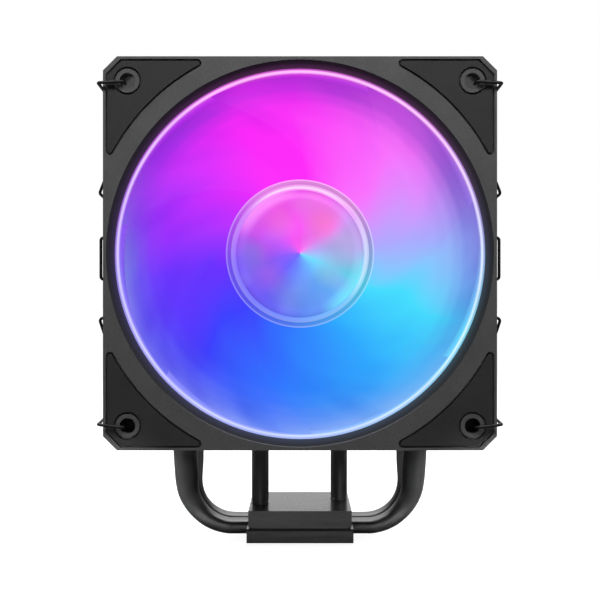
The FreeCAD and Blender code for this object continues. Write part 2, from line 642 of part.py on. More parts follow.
# ---------------------------------------------------------------- wire clips
def rounded_wire(pts, radii):
    edges = []
    cur = pts[0]
    for i in range(1, len(pts) - 1):
        a, c, d = pts[i - 1], pts[i], pts[i + 1]
        t1 = (c - a).normalize()
        t2 = (d - c).normalize()
        ang = math.acos(max(-1.0, min(1.0, t1.dot(t2))))
        r = radii
        cutback = min(r * math.tan(ang / 2), (c - a).Length * 0.45, (d - c).Length * 0.45)
        r = cutback / math.tan(ang / 2)
        e0, e1 = c - t1 * cutback, c + t2 * cutback
        bis = (t2 - t1).normalize()
        centre = c + bis * (r / math.cos(ang / 2))
        mid = centre - bis * r
        edges.append(Part.LineSegment(cur, e0).toShape())
        edges.append(Part.Arc(e0, mid, e1).toShape())
        cur = e1
    edges.append(Part.LineSegment(cur, pts[-1]).toShape())
    return Part.Wire(edges)


def wire_clip(name, s):
    """One bent wire: a hook in each of two corner holes, arms past the frame, kinks and a handle."""
    ho, yf, yg, yt = num("hole_offset"), num("clip_front"), num("clip_groove_y"), num("clip_tip")
    hk, ax, gx = num("clip_hook_x"), num("clip_arm_x"), num("clip_groove_x")
    kx, nx, hx = num("clip_kink_x"), num("clip_inner_x"), num("clip_handle_x")
    ku, kd, hu, hd = num("clip_kink_up"), num("clip_kink_down"), num("clip_handle_up"), num("clip_handle_down")
    top = [(hk, yt, ho - 0.4), (hk, yf, ho - 0.4), (ax, yf, ho - 0.8), (ax, yg, ho - 2.3), (gx, yg, ho - 8.0),
           (gx, yg, ku + 15.5), (kx - 1.7, yg, ku + 4.4), (kx, yg, ku), (nx, yg, ku - 3.9), (nx, yg, hu + 0.2), (hx, yg, hu)]
    low = [(hk, yt, -ho - 0.4), (hk, yf, -ho - 0.4), (ax, yf, -ho + 0.5), (ax, yg, -ho + 2.3), (gx, yg, -ho + 8.0),
           (gx, yg, -kd - 15.5), (kx - 1.5, yg, -kd - 4.6), (kx, yg, -kd), (nx, yg, -kd + 2.0), (nx, yg, -hd - 1.0),
           (hx, yg, -hd)]
    up = [V(s * x, y, z) for x, y, z in top]
    down = [V(s * x, y, z) for x, y, z in reversed(low)]
    path = rounded_wire(up + down, 0.95)
    start = up[0]
    prof = Part.Wire([Part.Circle(start, V(0, -1, 0), num("clip_wire")).toShape()])
    solid = path.makePipeShell([prof], True, False)
    f = feature(name, solid, z=num("fan_height"))
    f.setExpression("Placement.Base.z", "params.fan_height")


wire_clip("wire_clip_left", -1.0)
wire_clip("wire_clip_right", 1.0)

# ---------------------------------------------------------------- check and write
doc.recompute()
bad = []
for o in doc.Objects:
    if any(w in ("Invalid", "Error") for w in o.State):
        bad.append("%s %s" % (o.Label, o.State))
for n in NODES:
    sh = n.Shape
    if sh.isNull() or not sh.isValid() or not sh.Solids:
        bad.append("%s shape" % n.Label)
if bad:
    raise RuntimeError("; ".join(bad))
for n in NODES:
    n.Shape.exportStep("parts/%s.step" % n.Label)
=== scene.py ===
import bpy
import bmesh
import json
import math
from mathutils import Vector, Matrix


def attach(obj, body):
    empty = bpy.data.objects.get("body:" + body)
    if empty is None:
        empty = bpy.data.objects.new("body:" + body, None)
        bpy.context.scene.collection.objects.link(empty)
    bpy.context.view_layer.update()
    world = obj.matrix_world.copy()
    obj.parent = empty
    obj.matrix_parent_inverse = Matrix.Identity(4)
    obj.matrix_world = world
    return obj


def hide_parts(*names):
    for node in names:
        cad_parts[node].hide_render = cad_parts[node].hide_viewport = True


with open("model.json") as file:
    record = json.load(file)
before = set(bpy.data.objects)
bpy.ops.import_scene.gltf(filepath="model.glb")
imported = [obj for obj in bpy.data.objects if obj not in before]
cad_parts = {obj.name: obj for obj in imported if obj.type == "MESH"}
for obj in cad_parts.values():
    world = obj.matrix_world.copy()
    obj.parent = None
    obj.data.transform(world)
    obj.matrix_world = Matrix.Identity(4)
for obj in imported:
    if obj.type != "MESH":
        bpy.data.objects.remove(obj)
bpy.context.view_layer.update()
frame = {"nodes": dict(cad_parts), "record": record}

nodes = frame["nodes"]
FZ = 0.0946                      # height of the fan's axis
MM = 0.001


# ------------------------------------------------------------------ node helpers
def srgb(*c):
    return tuple(((v / 255.0) / 12.92 if v / 255.0 <= 0.04045 else ((v / 255.0 + 0.055) / 1.055) ** 2.4)
                 for v in c) + (1.0,)


class Tree:
    def __init__(self, name):
        self.mat = bpy.data.materials.new(name)
        self.mat.use_nodes = True
        self.nt = self.mat.node_tree
        self.nt.nodes.clear()
        self.out = self.nt.nodes.new("ShaderNodeOutputMaterial")
        self.bsdf = self.nt.nodes.new("ShaderNodeBsdfPrincipled")
        self.link(self.bsdf.outputs[0], self.out.inputs[0])

    def link(self, a, b):
        self.nt.links.new(a, b)

    def add(self, kind, ins=None, **attrs):
        n = self.nt.nodes.new(kind)
        for k, v in attrs.items():
            setattr(n, k, v)
        for k, v in (ins or {}).items():
            sock = n.inputs[k]
            if hasattr(v, "is_output"):
                self.link(v, sock)
            else:
                sock.default_value = v
        return n

    def math(self, op, a, b=None, c=None, clamp=False):
        ins = {0: a}
        if b is not None:
            ins[1] = b
        if c is not None:
            ins[2] = c
        return self.add("ShaderNodeMath", ins, operation=op, use_clamp=clamp).outputs[0]

    def coord(self):
        return self.add("ShaderNodeTexCoord").outputs["Object"]

    def noise(self, scale, detail=3.0, rough=0.55, vec=None, stretch=None):
        v = vec or self.coord()
        if stretch:
            v = self.add("ShaderNodeMapping", {"Vector": v, "Scale": stretch}).outputs[0]
        return self.add("ShaderNodeTexNoise", {"Vector": v, "Scale": scale, "Detail": detail,
                                               "Roughness": rough}).outputs["Fac"]

    def remap(self, v, a, b, lo=0.0, hi=1.0):
        n = self.add("ShaderNodeMapRange", {"Value": v, "From Min": lo, "From Max": hi,
                                            "To Min": a, "To Max": b})
        n.clamp = True
        return n.outputs[0]

    def ramp(self, v, stops, interp="LINEAR"):
        n = self.add("ShaderNodeValToRGB", {"Fac": v})
        cr = n.color_ramp
        cr.interpolation = interp
        while len(cr.elements) < len(stops):
            cr.elements.new(0.5)
        for e, (pos, col) in zip(cr.elements, stops):
            e.position = pos
            e.color = col if len(col) == 4 else tuple(col) + (1.0,)
        return n.outputs[0]

    def mix(self, f, a, b, kind="MIX"):
        n = self.add("ShaderNodeMix", data_type="RGBA", blend_type=kind)
        for sock, v in ((n.inputs[0], f), (n.inputs[6], a), (n.inputs[7], b)):
            if hasattr(v, "is_output"):
                self.link(v, sock)
            else:
                sock.default_value = v
        return n.outputs[2]

    def bump(self, heights):
        """heights: list of (value socket, strength, distance in metres)"""
        normal = None
        for h, strength, dist in heights:
            ins = {"Height": h, "Strength": strength, "Distance": dist}
            if normal is not None:
                ins["Normal"] = normal
            normal = self.add("ShaderNodeBump", ins).outputs[0]
        self.link(normal, self.bsdf.inputs["Normal"])

    def set(self, **kw):
        names = {"base": "Base Color", "rough": "Roughness", "metal": "Metallic", "spec": "Specular IOR Level",
                 "coat": "Coat Weight", "coat_rough": "Coat Roughness", "emit": "Emission Color",
                 "power": "Emission Strength", "alpha": "Alpha", "trans": "Transmission Weight", "ior": "IOR"}
        for k, v in kw.items():
            sock = self.bsdf.inputs[names[k]]
            if hasattr(v, "is_output"):
                self.link(v, sock)
            else:
                sock.default_value = v
        return self


def surface(name, dark, light, rough, rough_var=0.08, metal=0.0, blotch=120.0, grain=2600.0, grain_bump=0.25,
            grain_dist=0.00004, coat=0.0, coat_rough=0.1, spec=0.5, stretch=None):
    """A plain finish with colour variation, roughness variation and a fine grain."""
    t = Tree(name)
    big = t.noise(blotch, 4.0, 0.6, stretch=stretch)
    fine = t.noise(grain, 2.0, 0.5, stretch=stretch)
    col = t.mix(t.remap(big, 0.0, 1.0, 0.3, 0.7), dark, light)
    speck = t.remap(fine, 0.86, 1.12, 0.3, 0.7)
    col = t.mix(1.0, col, t.add("ShaderNodeCombineColor", {0: speck, 1: speck, 2: speck}).outputs[0], "MULTIPLY")
    t.set(base=col, rough=t.remap(big, rough - rough_var, rough + rough_var, 0.3, 0.7), metal=metal, spec=spec,
          coat=coat, coat_rough=coat_rough)
    t.bump([(fine, grain_bump, grain_dist)])
    return t.mat


# ------------------------------------------------------------------ fan light colours
# The light runs once round the colour wheel, clockwise from the top as seen from the front.
# All of the fan's light is painted: it is emission in the blade, hub, ring, lens and trim materials and a painted glow
# on the frame, not cast by any lamp.
WHEEL = [(d / 360.0, srgb(*c)) for d, c in (
    (0, (255, 45, 250)), (45, (250, 115, 255)), (80, (175, 170, 255)), (115, (70, 222, 255)), (150, (48, 170, 255)),
    (190, (50, 115, 255)), (225, (62, 66, 255)), (262, (108, 50, 255)), (300, (195, 48, 255)), (335, (252, 42, 252)),
    (360, (255, 45, 250)))]


def polar_coords(t):
    """Angle (0 to 1, clockwise from the top), radius in metres about the fan's axis, and the Y coordinate."""
    sep = t.add("ShaderNodeSeparateXYZ", {0: t.coord()})
    x = sep.outputs["X"]
    z = t.math("SUBTRACT", sep.outputs["Z"], FZ)
    ang = t.math("ARCTAN2", x, z)
    turns = t.math("FRACT", t.math("DIVIDE", ang, 2 * math.pi))
    rad = t.math("SQRT", t.math("ADD", t.math("MULTIPLY", x, x), t.math("MULTIPLY", z, z)))
    return turns, rad, sep.outputs["Y"]


def grey(t, v):
    return t.add("ShaderNodeCombineColor", {0: v, 1: v, 2: v}).outputs[0]


def facing(t, turns, deg, width, lo=0.0, hi=1.0):
    """hi on the side of the wheel at deg, falling softly to lo at width degrees from it."""
    c = t.math("COSINE", t.math("MULTIPLY", t.math("SUBTRACT", turns, deg / 360.0), 2 * math.pi))
    n = t.add("ShaderNodeMapRange", {"Value": c, "From Min": math.cos(math.radians(width)), "From Max": 1.0,
                                     "To Min": lo, "To Max": hi}, interpolation_type="SMOOTHSTEP")
    return n.outputs[0]


def wheel(t, turns, white=0.0, dim=1.0):
    """The wheel's colour, paled by white and scaled by dim; each is a number or a socket."""
    col = t.ramp(turns, WHEEL)
    col = t.mix(white, col, (1, 1, 1, 1))
    return t.mix(1.0, col, grey(t, dim), "MULTIPLY")


def wobble(t, turns, amount, scale, detail=1.0, seed=0.0):
    v = t.add("ShaderNodeMapping", {"Vector": t.coord(), "Location": (seed, seed * 0.7, seed * 1.3)}).outputs[0]
    n = t.noise(scale, detail, 0.5, vec=v)
    return t.math("FRACT", t.math("ADD", turns, t.remap(n, 1.0 - amount, 1.0 + amount, 0.3, 0.7)))


R_HUB, R_TIP = 22.0, 55.6
SWEEP = 44.0


def swept(t, turns, v):
    """The angle with the blades' sweep taken out, so that it is the same all along one blade."""
    sweep = t.math("MULTIPLY", t.math("POWER", t.math("SUBTRACT", 1.0, v), 1.25), SWEEP / 360.0)
    return t.math("SUBTRACT", turns, sweep)


def blade_material():
    t = Tree("frosted_blade_lit")
    turns, rad, y = polar_coords(t)
    # the light narrows a little with depth, as it is fed in at the front edge
    rad = t.math("MULTIPLY", rad, t.remap(y, 1.0, 0.962, -0.0446, -0.0304))
    v = t.remap(rad, 0.0, 1.0, R_HUB * MM, R_TIP * MM)
    flat = swept(t, turns, v)
    # soft streaks that follow the sweep: noise on a ring, stretched along the blade
    ang = t.math("MULTIPLY", flat, 2 * math.pi)
    ring = t.add("ShaderNodeCombineXYZ", {0: t.math("SINE", ang), 1: t.math("COSINE", ang),
                                          2: t.math("MULTIPLY", v, 0.8)}).outputs[0]
    broad = t.noise(1.9, 1.0, 0.5, vec=ring)
    streak = t.noise(3.4, 1.0, 0.4, vec=ring)
    around = t.math("FRACT", t.math("ADD", t.math("ADD", turns, 1.0), t.remap(broad, -0.014, 0.014, 0.25, 0.75)))
    # seven soft lobes near the rim, one for each blade
    lobe = t.math("COSINE", t.math("MULTIPLY", t.math("SUBTRACT", flat, 0.02), 2 * math.pi * 7))
    low = facing(t, turns, 185.0, 105.0)
    near_rim = t.ramp(v, [(0.0, (0,) * 3), (0.56, (0.0,) * 3), (0.70, (0.16,) * 3), (0.80, (0.52,) * 3),
                          (0.88, (0.88,) * 3), (1.0, (1.0,) * 3)], "EASE")
    col = t.ramp(around, WHEEL)
    last = t.remap(v, 0.0, 1.0, 0.88, 1.0)
    upper = t.mix(last, (0.48, 0.46, 0.77, 1), (0.42, 0.36, 0.68, 1))
    upper = t.mix(facing(t, turns, 50.0, 52.0), upper, (0.34, 0.32, 0.62, 1))
    dimmed = t.mix(1.0, col, t.mix(low, upper, (0.80, 0.74, 0.93, 1)), "MULTIPLY")
    red = t.math("MULTIPLY", facing(t, turns, 196.0, 105.0), 0.13)
    green = t.math("MULTIPLY", facing(t, turns, 214.0, 95.0), 0.14)
    soft = t.math("MULTIPLY", t.remap(streak, 0.75, 1.0, 0.3, 0.7), t.math("ADD", 1.0, last))
    haze = t.mix(1.0, t.add("ShaderNodeCombineColor", {0: red, 1: green, 2: 0.0}).outputs[0], grey(t, soft), "MULTIPLY")
    rim = t.mix(1.0, t.mix(1.0, dimmed, haze, "ADD"), (0.004, 0.016, 0.004, 1), "ADD")
    amount = t.math("MULTIPLY", near_rim, t.math("MULTIPLY", t.remap(lobe, 0.72, 1.04, -1.0, 1.0),
                                                 t.remap(streak, 0.82, 1.12, 0.3, 0.7)), clamp=True)
    col = t.mix(amount, col, rim)
    dark = t.math("MULTIPLY", t.remap(streak, 0.46, 0.0, 0.30, 0.54), t.remap(v, 0.0, 1.0, 0.35, 0.85))
    glow = t.mix(dark, col, t.mix(1.0, col, (0.62, 0.55, 0.82, 1), "MULTIPLY"))
    grain = t.noise(1500.0, 2.0, 0.5)
    t.set(base=(0.002, 0.002, 0.0024, 1), rough=t.remap(grain, 0.52, 0.68, 0.3, 0.7), spec=0.02, emit=glow, power=0.99)
    t.bump([(grain, 0.06, 0.00003)])
    return t.mat


def hub_material():
    """The hub's wall and front ring: a raised lip that catches the light, and a darker band inside it."""
    t = Tree("frosted_hub_lit")
    turns, rad, y = polar_coords(t)
    # painted reflection and highlight: the band is paled towards the top, and the lip is paled all round, most near the
    # top
    band = wheel(t, turns, facing(t, turns, 5.0, 75.0, 0.05, 0.28), facing(t, turns, 60.0, 110.0, 0.82, 0.66))
    lip = wheel(t, turns, facing(t, turns, 20.0, 110.0, 0.20, 0.34), 0.98)
    wall = wheel(t, turns, 0.02, 0.96)
    on_lip = t.math("MULTIPLY", t.remap(rad, 0.0, 1.0, 0.02214, 0.02228), t.remap(y, 1.0, 0.0, -0.04700, -0.0467))
    behind = t.remap(y, 0.0, 1.0, -0.0469, -0.0461)
    col = t.mix(on_lip, band, lip)
    # the band's inner edge is lit by the trim ring next to it
    inner = wheel(t, turns, t.math("ADD", facing(t, turns, 40.0, 100.0, 0.22, 0.42), 0.0), 0.92)
    col = t.mix(t.math("MULTIPLY", t.remap(rad, 1.0, 0.0, 0.02100, 0.02122), t.remap(y, 1.0, 0.0, -0.0468, -0.0464)), col, inner)
    col = t.mix(t.math("MULTIPLY", behind, t.remap(rad, 0.0, 1.0, 0.0226, 0.02268)), col, wall)
    fine = t.noise(1500.0, 2.0, 0.5)
    t.set(base=(0.02, 0.02, 0.025, 1), rough=t.remap(fine, 0.34, 0.46, 0.3, 0.7), spec=0.12, emit=col, power=0.98)
    t.bump([(fine, 0.06, 0.00003)])
    return t.mat


def ring_material():
    """The clear liner: its front lip and the first millimetres inside it carry the light of the LEDs."""
    t = Tree("light_ring_lit")
    turns, rad, y = polar_coords(t)
    col = wheel(t, turns, facing(t, turns, 180.0, 150.0, 0.50, 0.60), 1.0)
    dim = wheel(t, turns, facing(t, turns, 195.0, 110.0, 0.08, 0.36), facing(t, turns, 185.0, 120.0, 0.62, 0.94))
    deep = t.mix(1.0, wheel(t, turns, facing(t, turns, 200.0, 110.0, 0.02, 0.22)),
                 t.mix(facing(t, turns, 185.0, 120.0), (0.50, 0.46, 0.74, 1), (0.88, 0.88, 0.94, 1)), "MULTIPLY")
    dim = t.mix(t.remap(y, 0.0, 1.0, -0.0430, -0.0370), dim, deep)
    dim = t.mix(1.0, dim, t.mix(facing(t, turns, 50.0, 52.0), (1.0, 1.0, 1.0, 1), (0.80, 0.78, 0.88, 1)), "MULTIPLY")
    leds = t.math("COSINE", t.math("MULTIPLY", turns, 2 * math.pi * 12))
    pulse = grey(t, t.remap(leds, 0.965, 1.03, -1.0, 1.0))
    front = t.remap(y, 1.0, 0.0, -0.0442, -0.0412)
    edge = t.math("ADD", rad, t.math("MULTIPLY", facing(t, turns, 172.0, 130.0), 0.00011))
    lip = t.remap(edge, 1.0, 0.05, 0.05638, 0.05670)
    bright = t.math("MULTIPLY", front, lip)
    glow = t.mix(bright, dim, t.mix(1.0, col, pulse, "MULTIPLY"))
    fine = t.noise(1800.0, 2.0, 0.5)
    t.set(base=(0.02, 0.02, 0.025, 1), rough=t.remap(fine, 0.3, 0.42, 0.3, 0.7), spec=0.15, emit=glow, power=1.0)
    t.bump([(fine, 0.05, 0.00002)])
    return t.mat


def lens_material():
    """The clear dome: the lights behind it show as a soft colour wheel that meets in a point at the centre."""
    t = Tree("clear_lens_lit")
    turns, rad, _ = polar_coords(t)

    def cloud(scale, seed):
        v = t.add("ShaderNodeMapping", {"Vector": t.coord(), "Location": (seed, seed * 1.7, seed * 0.6)}).outputs[0]
        return t.noise(scale, 0.6, 0.4, vec=v)

    strength = t.remap(rad, 0.0, 0.16, 0.001, 0.012)
    shift = t.math("MULTIPLY", t.math("SUBTRACT", cloud(82.0, 0.31), 0.5), strength)
    around = t.math("FRACT", t.math("ADD", t.math("ADD", turns, shift), 1.0))
    col = t.mix(0.12, t.ramp(around, WHEEL), (0.85, 0.55, 0.80, 1))
    far = t.remap(rad, 0.0, 1.0, 0.003, 0.011)
    patch = cloud(88.0, 2.10)
    warm = t.math("MULTIPLY", t.math("MULTIPLY", far, t.remap(patch, 0.0, 0.30, 0.50, 0.80)),
                  facing(t, turns, 345.0, 125.0, 0.08, 1.0))
    cool = t.math("MULTIPLY", far, t.remap(patch, 0.30, 0.0, 0.22, 0.50))
    col = t.mix(warm, col, (0.90, 0.28, 0.74, 1))
    col = t.mix(cool, col, (0.36, 0.36, 0.86, 1))
    # soft patches where the lights behind overlap
    sep = t.add("ShaderNodeSeparateXYZ", {0: t.coord()})
    zz = t.math("SUBTRACT", sep.outputs["Z"], FZ)
    for x0, z0, size, share, tone in ((7.3, 9.6, 7.5, 0.80, (1.0, 0.19, 0.66, 1)), (-6.7, 10.2, 7.5, 0.70, (0.96, 0.13, 0.78, 1)),
                                      (-9.5, -6.5, 7.5, 0.62, (0.36, 0.11, 0.80, 1)), (9.0, -5.3, 6.5, 0.65, (0.25, 0.56, 0.84, 1)),
                                      (15.5, -5.5, 4.8, 0.65, (0.10, 0.68, 0.88, 1)), (14.6, 3.6, 5.0, 0.50, (0.45, 0.38, 0.76, 1)),
                                      (-15.0, 0.5, 5.5, 0.40, (0.27, 0.17, 0.90, 1)), (-1.5, -14.5, 6.0, 0.40, (0.14, 0.30, 0.93, 1))):
        dx = t.math("SUBTRACT", sep.outputs["X"], x0 * MM)
        dz = t.math("SUBTRACT", zz, z0 * MM)
        d = t.math("SQRT", t.math("ADD", t.math("MULTIPLY", dx, dx), t.math("MULTIPLY", dz, dz)))
        n = t.add("ShaderNodeMapRange", {"Value": d, "From Min": size * MM, "From Max": 0.0, "To Min": 0.0, "To Max": share},
                  interpolation_type="SMOOTHSTEP")
        col = t.mix(n.outputs[0], col, tone)
    # the grey-lilac patch on the right
    col = t.mix(t.math("MULTIPLY", facing(t, turns, 84.0, 32.0, 0.0, 0.35), t.remap(rad, 0.0, 1.0, 0.005, 0.011)),
                col, (0.46, 0.40, 0.66, 1))
    col = t.mix(t.remap(rad, 0.25, 0.0, 0.0, 0.005), col, t.mix(0.2, t.ramp(turns, WHEEL), (1, 1, 1, 1)))
    tint = grey(t, t.remap(cloud(120.0, 4.4), 0.90, 1.08, 0.25, 0.75))
    out = t.remap(rad, 0.0, 1.0, 0.0, 0.0196)
    vign = t.ramp(out, [(0.0, (1.0,) * 3), (0.55, (0.96,) * 3), (0.82, (0.92,) * 3), (0.90, (0.98,) * 3),
                        (0.96, (0.94,) * 3), (1.0, (0.72,) * 3)], "EASE")
    glow = t.mix(1.0, t.mix(1.0, col, tint, "MULTIPLY"), vign, "MULTIPLY")
    # light gathered in the dome's edge, upper left and lower right
    edge = t.math("MULTIPLY", t.remap(out, 0.0, 1.0, 0.80, 0.97), facing(t, turns, 322.0, 40.0))
    glow = t.mix(t.math("MULTIPLY", edge, 0.7), glow, (1.0, 0.36, 1.0, 1))
    edge = t.math("MULTIPLY", t.remap(out, 0.0, 1.0, 0.80, 0.99), facing(t, turns, 122.0, 40.0))
    glow = t.mix(t.math("MULTIPLY", edge, 0.8), glow, (0.20, 0.86, 1.0, 1))
    t.set(base=(0.01, 0.01, 0.012, 1), rough=t.remap(patch, 0.34, 0.42, 0.3, 0.7), spec=0.15, emit=glow, power=0.98)
    t.bump([(patch, 0.04, 0.0002)])
    return t.mat


def trim_material():
    """The bright rim round the dome, brightest where it faces the strongest light."""
    t = Tree("trim_ring_lit")
    turns, rad, y = polar_coords(t)
    # painted highlights: the rim is paled all round, most at the top, less on the right and a little at the upper left
    white = t.math("ADD", facing(t, turns, 2.0, 58.0, 0.16, 0.62),
                   t.math("ADD", facing(t, turns, 92.0, 44.0, 0.0, 0.26), facing(t, turns, 318.0, 40.0, 0.0, 0.06)),
                   clamp=True)
    col = wheel(t, turns, white, 0.99)
    # its sloping inner side takes the dome's own colours
    slope = wheel(t, turns, facing(t, turns, 20.0, 120.0, 0.10, 0.26), 0.93)
    col = t.mix(t.remap(rad, 1.0, 0.0, 0.01965, 0.01985), col, slope)
    fine = t.noise(1800.0, 2.0, 0.5)
    t.set(base=(0.02, 0.02, 0.025, 1), rough=t.remap(fine, 0.22, 0.34, 0.3, 0.7), spec=0.2, emit=col, power=1.0)
    t.bump([(fine, 0.05, 0.00002)])
    return t.mat


def frame_material():
    """Moulded black plastic with a fine grain; the inlet funnel is matte, with a darker base colour as painted shade,
    and glows with light painted from the ring next to it.
    """
    t = Tree("frame_plastic_grain_and_painted_light")
    turns, rad, y = polar_coords(t)
    big = t.noise(120.0, 4.0, 0.6)
    fine = t.noise(2400.0, 2.0, 0.5)
    col = t.mix(t.remap(big, 0.0, 1.0, 0.3, 0.7), (0.054, 0.054, 0.055, 1), (0.064, 0.064, 0.065, 1))
    col = t.mix(1.0, col, grey(t, t.remap(fine, 0.86, 1.12, 0.3, 0.7)), "MULTIPLY")
    # painted shade: the inlet funnel's base colour is darkened well below the rest of the frame
    inlet = t.remap(rad, 1.0, 0.0, 0.05900, 0.05912)
    col = t.mix(inlet, col, (0.010, 0.010, 0.011, 1))
    # painted light: the ring's glow spilling onto the funnel next to it and into the bore, in the wheel's colours
    spill = t.ramp(t.remap(rad, 0.0, 1.0, 0.0569, 0.0591), [(0.0, (0.065,) * 3), (0.25, (0.030,) * 3), (0.60, (0.010,) * 3),
                                                            (1.0, (0.003,) * 3)])
    spill = t.mix(t.math("MULTIPLY", inlet, t.remap(y, 1.0, 0.0, -0.0440, -0.0430)), (0, 0, 0, 1), spill)
    bore = t.math("MULTIPLY", t.remap(rad, 1.0, 0.0, 0.0565, 0.0567), t.remap(y, 0.0, 1.0, -0.0440, -0.0430))
    bore = t.math("MULTIPLY", bore, t.remap(rad, 0.0, 1.0, 0.0555, 0.0560))
    spill = t.mix(bore, spill, (0.5, 0.5, 0.5, 1))
    glow = t.mix(1.0, wheel(t, turns, 0.30, 1.0), spill, "MULTIPLY")
    # painted light and shade: the floors of the upper corner holes get a light base colour, those of the lower holes a
    # dark one
    sep = t.add("ShaderNodeSeparateXYZ", {0: t.coord()})
    zz = t.math("SUBTRACT", sep.outputs["Z"], FZ)
    hx = t.math("SUBTRACT", t.math("ABSOLUTE", sep.outputs["X"]), 0.0525)
    hz = t.math("SUBTRACT", t.math("ABSOLUTE", zz), 0.0525)
    hd = t.math("SQRT", t.math("ADD", t.math("MULTIPLY", hx, hx), t.math("MULTIPLY", hz, hz)))
    hole = t.math("MULTIPLY", t.remap(hd, 1.0, 0.0, 0.00236, 0.00242), t.remap(y, 0.0, 1.0, -0.0441, -0.0439))
    hole_floor_painted_light = t.remap(zz, 0.02, 0.72, -0.02, 0.04)
    col = t.mix(hole, col, grey(t, hole_floor_painted_light))
    # painted light: a faint glow on the floors of the upper corner holes
    lit = t.math("MULTIPLY", t.remap(zz, 0.0, 1.0, 0.0, 0.04), t.remap(t.math("ADD", hx, hz), 1.0, 0.0, 0.0012, 0.0022))
    glow = t.mix(t.math("MULTIPLY", hole, lit), glow, (0.046, 0.046, 0.047, 1))
    # painted highlight: the funnel's sharp edge gets a lighter base colour along the bottom, where it would catch the
    # light from above
    rim = t.math("MULTIPLY", t.remap(rad, 0.0, 1.0, 0.05885, 0.05895), t.remap(rad, 1.0, 0.0, 0.05905, 0.05915))
    col = t.mix(t.math("MULTIPLY", rim, t.remap(zz, 0.6, 0.0, -0.054, -0.040)), col, (0.20, 0.20, 0.21, 1))
    t.set(base=col, rough=t.mix(inlet, grey(t, t.remap(big, 0.50, 0.60, 0.3, 0.7)), (0.85, 0.85, 0.85, 1)), spec=0.35,
          emit=glow, power=1.0)
    t.bump([(fine, 0.35, 0.00004)])
    return t.mat


M = {}
M["black_nickel"] = surface("black_nickel_finish", (0.012, 0.012, 0.0125, 1), (0.018, 0.018, 0.019, 1), 0.40, 0.04,
                            blotch=90.0, grain=900.0, grain_bump=0.04, spec=0.55)
M["dark_base_metal"] = surface("dark_base_finish", (0.042, 0.042, 0.043, 1), (0.052, 0.052, 0.054, 1), 0.22, 0.03,
                               blotch=60.0, grain=700.0, grain_bump=0.05, spec=0.6, stretch=(1.0, 14.0, 14.0))
M["black_fin"] = surface("black_fin_finish", (0.036, 0.036, 0.038, 1), (0.056, 0.056, 0.059, 1), 0.42, 0.06,
                         metal=0.55, blotch=40.0, grain=900.0, grain_bump=0.08, stretch=(1.0, 9.0, 1.0))
M["black_top_plate"] = surface("black_top_finish", (0.030, 0.030, 0.032, 1), (0.046, 0.046, 0.05, 1), 0.36, 0.05,
                               metal=0.6, blotch=50.0, grain=700.0, grain_bump=0.12, stretch=(1.0, 22.0, 1.0))
M["frame_plastic"] = frame_material()
M["pad_rubber"] = surface("pad_rubber_grain", (0.014, 0.014, 0.0145, 1), (0.020, 0.020, 0.0205, 1), 0.70, 0.06,
                          grain=3000.0, grain_bump=0.45, spec=0.3)
M["circuit_board"] = surface("circuit_board_finish", (0.012, 0.03, 0.018, 1), (0.02, 0.05, 0.03, 1), 0.35, 0.06,
                             grain=500.0, grain_bump=0.2)
M["led_white"] = surface("led_body", (0.7, 0.7, 0.62, 1), (0.85, 0.85, 0.78, 1), 0.3, 0.05, grain=800.0)
M["brass_tube"] = surface("brass_turned", (0.45, 0.32, 0.12, 1), (0.62, 0.45, 0.2, 1), 0.3, 0.06, metal=1.0,
                          grain=900.0, stretch=(1.0, 20.0, 1.0))
M["bearing_bronze"] = surface("bronze_sintered", (0.26, 0.16, 0.09, 1), (0.36, 0.24, 0.13, 1), 0.5, 0.08, metal=0.9,
                              grain=2400.0, grain_bump=0.4)
M["steel_core"] = surface("steel_laminated", (0.28, 0.28, 0.29, 1), (0.4, 0.4, 0.41, 1), 0.35, 0.07, metal=1.0,
                          grain=900.0, stretch=(1.0, 30.0, 1.0))
M["copper_coil"] = surface("copper_enamel", (0.40, 0.14, 0.06, 1), (0.55, 0.23, 0.1, 1), 0.25, 0.06, metal=0.9,
                           grain=600.0, grain_bump=0.5, stretch=(1.0, 1.0, 12.0))
M["blank_cover"] = surface("blank_cover_finish", (0.02, 0.02, 0.021, 1), (0.028, 0.028, 0.03, 1), 0.45, 0.05)
M["magnet_rubber"] = surface("magnet_finish", (0.035, 0.032, 0.03, 1), (0.05, 0.046, 0.042, 1), 0.6, 0.06)
M["bright_steel"] = surface("shaft_steel", (0.5, 0.5, 0.52, 1), (0.62, 0.62, 0.64, 1), 0.16, 0.04, metal=1.0,
                            grain=900.0, grain_bump=0.05)
M["white_ring"] = surface("nylon_ring", (0.55, 0.55, 0.52, 1), (0.66, 0.66, 0.63, 1), 0.5, 0.05)
M["black_wire"] = surface("wire_coating", (0.0035, 0.0035, 0.004, 1), (0.006, 0.006, 0.0065, 1), 0.38, 0.06,
                          grain=1800.0, grain_bump=0.12, spec=0.25)
M["frosted_blade"] = blade_material()
M["frosted_hub"] = hub_material()
M["light_ring"] = ring_material()
M["clear_lens"] = lens_material()
M["trim_ring"] = trim_material()

slot_of = {s["node"]: s["material_slot"] for s in frame["record"]["subparts"]}


def dress(obj, mat):
    obj.data.materials.clear()
    obj.data.materials.append(mat)


for name, o in nodes.items():
    for i, s in enumerate(o.material_slots):
        s.material = M[slot_of[name]]
    if not o.material_slots:
        o.data.materials.append(M[slot_of[name]])


# ------------------------------------------------------------------ impeller, as a fine mesh
def lerp(a, c, t):
    return a + (c - a) * t


def new_object(name, bm, mat, body, smooth=True, sharp=None):
    me = bpy.data.meshes.new(name)
    bm.normal_update()
    bm.to_mesh(me)
    bm.free()
    o = bpy.data.objects.new(name, me)
    bpy.context.scene.collection.objects.link(o)
    me.materials.append(mat)
    for poly in me.polygons:
        poly.use_smooth = smooth
    if smooth and sharp is not None:
        me.set_sharp_from_angle(angle=math.radians(sharp))
    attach(o, body)
    return o


